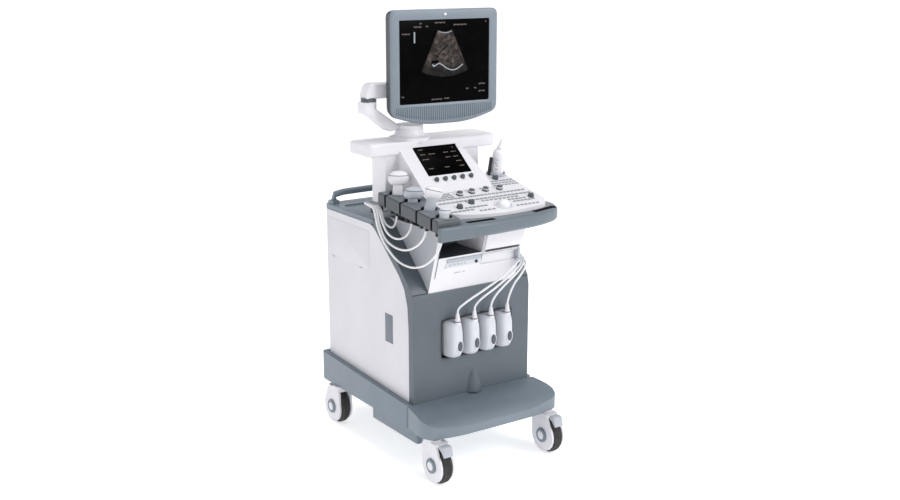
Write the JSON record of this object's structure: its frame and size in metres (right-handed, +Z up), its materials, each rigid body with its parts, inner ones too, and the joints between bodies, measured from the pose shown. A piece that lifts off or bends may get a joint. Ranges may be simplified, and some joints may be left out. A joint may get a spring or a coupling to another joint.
{
  "type": "ultrasound machine",
  "caption": "Wheeled ultrasound cart with a sloped control console, touch panel, probe rack, cabled probes and a flat monitor on a swing arm.",
  "frame": {"origin": "on the floor, below the centre of the machine's box without its probe cables", "axes": "+X to the viewer's right when facing the machine's front, +Y towards its back, +Z up"},
  "size_m": [0.5626, 0.7842, 1.474],
  "materials": {
    "slate": "fine texture, blue-grey",
    "charcoal": "fine texture, dark blue-grey",
    "white": "satin, faintly violet white",
    "pale_grey": "satin pale grey",
    "black": "satin black",
    "screen": "glossy black screen",
    "tyre": "matte rubber",
    "aluminium": "brushed sheet",
    "steel": "zinc-plated sheet",
    "cable": "satin white jacket",
    "bottle": "glossy white squeeze bottle"
  },
  "bodies": {
    "cart": {"base_skirt": "slate", "front_cover": "slate", "side_panel_left": "white", "side_panel_right": "white", "top_deck": "slate", "rear_handle": "slate", "rear_cover": "white", "inner_frame": "steel", "power_supply": "aluminium", "card_cage": "aluminium", "connector_panel": "charcoal", "probe_connector_1": "pale_grey", "probe_connector_2": "pale_grey", "probe_connector_3": "pale_grey", "probe_connector_4": "pale_grey", "io_housing": "white", "disc_drive": "pale_grey", "console_tray": "slate", "control_plate": "white", "key_mat": "pale_grey", "screen_pod": "white", "touch_screen": "screen", "probe_holder": "charcoal", "convex_probe": "white", "volume_probe": "pale_grey", "linear_probe": "white", "phased_probe": "white", "probe_cable_1": "cable", "probe_cable_2": "cable", "probe_cable_3": "cable", "probe_cable_4": "cable"},
    "caster_front_left": {"caster_fork_front_left": "white"},
    "wheel_front_left": {"caster_wheel_front_left": "tyre"},
    "pedal_front_left": {"brake_pedal_front_left": "pale_grey"},
    "caster_front_right": {"caster_fork_front_right": "white"},
    "wheel_front_right": {"caster_wheel_front_right": "tyre"},
    "pedal_front_right": {"brake_pedal_front_right": "pale_grey"},
    "caster_rear_left": {"caster_fork_rear_left": "white"},
    "wheel_rear_left": {"caster_wheel_rear_left": "tyre"},
    "caster_rear_right": {"caster_fork_rear_right": "white"},
    "wheel_rear_right": {"caster_wheel_rear_right": "tyre"},
    "lower_link": {"lower_arm": "white"},
    "upper_link": {"upper_arm": "white"},
    "mount": {"monitor_mount": "white"},
    "monitor": {"monitor_bezel": "slate", "monitor_back": "slate", "lcd_panel": "screen"},
    "tray": {"disc_tray": "black"},
    "drawer": {"drawer": "white"},
    "ball": {"trackball": "pale_grey"},
    "bottle": {"gel_bottle": "bottle"},
    "knob_gain": {"knob_gain": "charcoal"},
    "knob_depth": {"knob_depth": "charcoal"},
    "knob_zoom": {"knob_zoom": "charcoal"},
    "knob_doppler": {"knob_doppler": "charcoal"},
    "menu_knob_1": {"menu_knob_1": "charcoal"},
    "menu_knob_2": {"menu_knob_2": "charcoal"},
    "menu_knob_3": {"menu_knob_3": "charcoal"},
    "menu_knob_4": {"menu_knob_4": "charcoal"},
    "menu_knob_5": {"menu_knob_5": "charcoal"}
  },
  "joints": [
    {"name": "caster_swivel_front_left", "type": "hinge", "parent": "cart", "child": "caster_front_left", "pos_m": [-0.2303, -0.29892, 0.14], "axis": [0, 0, 1], "continuous": true},
    {"name": "wheel_roll_front_left", "type": "hinge", "parent": "caster_front_left", "child": "wheel_front_left", "pos_m": [-0.2303, -0.32492, 0.0625], "axis": [1, 0, 0], "continuous": true},
    {"name": "brake_pedal_press_front_left", "type": "hinge", "parent": "caster_front_left", "child": "pedal_front_left", "pos_m": [-0.2303, -0.35192, 0.131], "axis": [1, 0, 0], "range_deg": [0, 8]},
    {"name": "caster_swivel_front_right", "type": "hinge", "parent": "cart", "child": "caster_front_right", "pos_m": [0.2177, -0.29892, 0.14], "axis": [0, 0, 1], "continuous": true},
    {"name": "wheel_roll_front_right", "type": "hinge", "parent": "caster_front_right", "child": "wheel_front_right", "pos_m": [0.2177, -0.32492, 0.0625], "axis": [1, 0, 0], "continuous": true},
    {"name": "brake_pedal_press_front_right", "type": "hinge", "parent": "caster_front_right", "child": "pedal_front_right", "pos_m": [0.2177, -0.35192, 0.131], "axis": [1, 0, 0], "range_deg": [0, 8]},
    {"name": "caster_swivel_rear_left", "type": "hinge", "parent": "cart", "child": "caster_rear_left", "pos_m": [-0.2423, 0.28508, 0.14], "axis": [0, 0, 1], "continuous": true},
    {"name": "wheel_roll_rear_left", "type": "hinge", "parent": "caster_rear_left", "child": "wheel_rear_left", "pos_m": [-0.2423, 0.31008, 0.0625], "axis": [1, 0, 0], "continuous": true},
    {"name": "caster_swivel_rear_right", "type": "hinge", "parent": "cart", "child": "caster_rear_right", "pos_m": [0.2297, 0.28508, 0.14], "axis": [0, 0, 1], "continuous": true},
    {"name": "wheel_roll_rear_right", "type": "hinge", "parent": "caster_rear_right", "child": "wheel_rear_right", "pos_m": [0.2297, 0.31008, 0.0625], "axis": [1, 0, 0], "continuous": true},
    {"name": "arm_swivel", "type": "hinge", "parent": "cart", "child": "lower_link", "pos_m": [-0.0763, 0.07708, 1.09], "axis": [0, 0, 1], "range_deg": [-30, 30]},
    {"name": "elbow_swivel", "type": "hinge", "parent": "lower_link", "child": "upper_link", "pos_m": [-0.2203, 0.09708, 1.185], "axis": [0, 0, 1], "range_deg": [-60, 0]},
    {"name": "monitor_swivel", "type": "hinge", "parent": "upper_link", "child": "mount", "pos_m": [0.0247, 0.09708, 1.245], "axis": [0, 0, 1], "range_deg": [-2, 35]},
    {"name": "monitor_tilt", "type": "hinge", "parent": "mount", "child": "monitor", "pos_m": [0.02265, 0.06916, 1.29], "axis": [0.9973, -0.0732, 0], "range_deg": [-15, 2]},
    {"name": "disc_tray_slide", "type": "slide", "parent": "cart", "child": "tray", "axis": [0, -1, 0], "range_m": [0, 0.085]},
    {"name": "drawer_slide", "type": "slide", "parent": "cart", "child": "drawer", "axis": [0, -1, 0], "range_m": [0, 0.11]},
    {"name": "trackball_roll", "type": "hinge", "parent": "cart", "child": "ball", "pos_m": [0.0567, -0.27492, 0.86272], "axis": [1, 0, 0], "continuous": true},
    {"name": "gel_bottle_lift", "type": "slide", "parent": "cart", "child": "bottle", "axis": [0, -0.2297, 0.9733], "range_m": [0, 0.05]},
    {"name": "knob_gain_turn", "type": "hinge", "parent": "cart", "child": "knob_gain", "pos_m": [-0.0993, -0.25192, 0.87515], "axis": [0, -0.2297, 0.9733], "range_deg": [-150, 150]},
    {"name": "knob_depth_turn", "type": "hinge", "parent": "cart", "child": "knob_depth", "pos_m": [-0.0403, -0.23192, 0.87987], "axis": [0, -0.2297, 0.9733], "range_deg": [-150, 150]},
    {"name": "knob_zoom_turn", "type": "hinge", "parent": "cart", "child": "knob_zoom", "pos_m": [0.1907, -0.24292, 0.87727], "axis": [0, -0.2297, 0.9733], "range_deg": [-150, 150]},
    {"name": "knob_doppler_turn", "type": "hinge", "parent": "cart", "child": "knob_doppler", "pos_m": [0.1617, -0.08492, 0.91456], "axis": [0, -0.2297, 0.9733], "range_deg": [-150, 150]},
    {"name": "menu_knob_1_turn", "type": "hinge", "parent": "cart", "child": "menu_knob_1", "pos_m": [-0.0853, -0.09992, 0.93817], "axis": [0, -0.6209, 0.7839], "range_deg": [-150, 150]},
    {"name": "menu_knob_2_turn", "type": "hinge", "parent": "cart", "child": "menu_knob_2", "pos_m": [-0.0513, -0.09992, 0.93817], "axis": [0, -0.6209, 0.7839], "range_deg": [-150, 150]},
    {"name": "menu_knob_3_turn", "type": "hinge", "parent": "cart", "child": "menu_knob_3", "pos_m": [-0.0173, -0.09992, 0.93817], "axis": [0, -0.6209, 0.7839], "range_deg": [-150, 150]},
    {"name": "menu_knob_4_turn", "type": "hinge", "parent": "cart", "child": "menu_knob_4", "pos_m": [0.0167, -0.09992, 0.93817], "axis": [0, -0.6209, 0.7839], "range_deg": [-150, 150]},
    {"name": "menu_knob_5_turn", "type": "hinge", "parent": "cart", "child": "menu_knob_5", "pos_m": [0.0507, -0.09992, 0.93817], "axis": [0, -0.6209, 0.7839], "range_deg": [-150, 150]}
  ]
}
